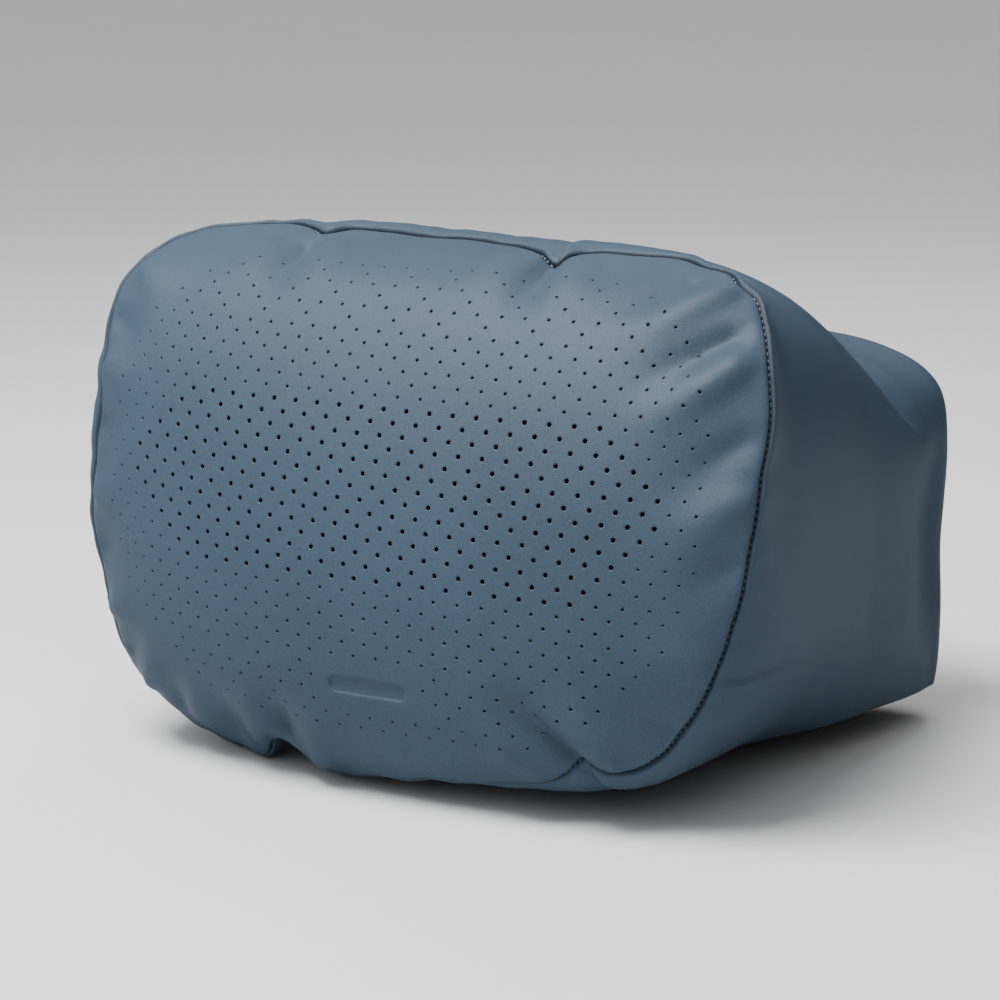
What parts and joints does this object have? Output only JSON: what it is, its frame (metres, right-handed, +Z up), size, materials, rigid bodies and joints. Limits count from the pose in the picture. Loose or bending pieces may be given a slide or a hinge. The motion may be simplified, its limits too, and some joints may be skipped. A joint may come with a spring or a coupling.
{
  "type": "headrest pillow",
  "caption": "Soft leatherette headrest pillow with a perforated convex face and a rear hood, open below, that slips down over a seat's own headrest.",
  "frame": {"origin": "middle of the bounding box on the plane that the pillow stands on", "axes": "+X to the right seen from the front, -Y towards the head that leans on the face, +Z up, along the headrest"},
  "size_m": [0.3, 0.234, 0.212],
  "materials": {
    "leatherette": "smooth satin polyurethane leatherette, fine grain",
    "mesh": "black warp-knit mesh",
    "wadding": "off-white polyurethane foam",
    "case_cloth": "white non-woven cloth",
    "fibre": "white polyester fibre",
    "divider_knit": "dark blue-grey tricot",
    "lining": "dark blue-grey foam-backed tricot",
    "zip_tape": "woven polyester tape, matched to the leatherette",
    "zip_coil": "moulded nylon coil",
    "zip_metal": "zinc die-casting, satin enamel",
    "label_satin": "white woven satin, blank",
    "thread": "bonded polyester sewing thread"
  },
  "bodies": {
    "root": {"front_panel": "leatherette", "front_mesh": "mesh", "front_wadding": "wadding", "inner_case": "case_cloth", "fibre_core": "fibre", "side_wrap": "leatherette", "rear_panel": "leatherette", "divider_panel": "divider_knit", "pocket_lining": "lining", "hem_facing": "leatherette", "base_strip_front": "leatherette", "base_strip_rear": "leatherette", "zip_tape_front": "zip_tape", "zip_coil_front": "zip_coil", "zip_tape_rear": "zip_tape", "zip_coil_rear": "zip_coil", "zip_closed_stop": "zip_metal", "zip_open_stop": "zip_metal", "care_label": "label_satin"},
    "zip_slider": {"zip_slider": "zip_metal"},
    "zip_pull_tab": {"zip_pull_tab": "zip_metal"}
  },
  "joints": [
    {"name": "zip_slide", "type": "slide", "parent": "root", "child": "zip_slider", "axis": [-1, 0, 0], "range_m": [0, 0.135]},
    {"name": "tab_flip", "type": "hinge", "parent": "zip_slider", "child": "zip_pull_tab", "pos_m": [0.0675, -0.054, 0.0034], "axis": [0, -1, 0], "range_deg": [0, 165]}
  ]
}
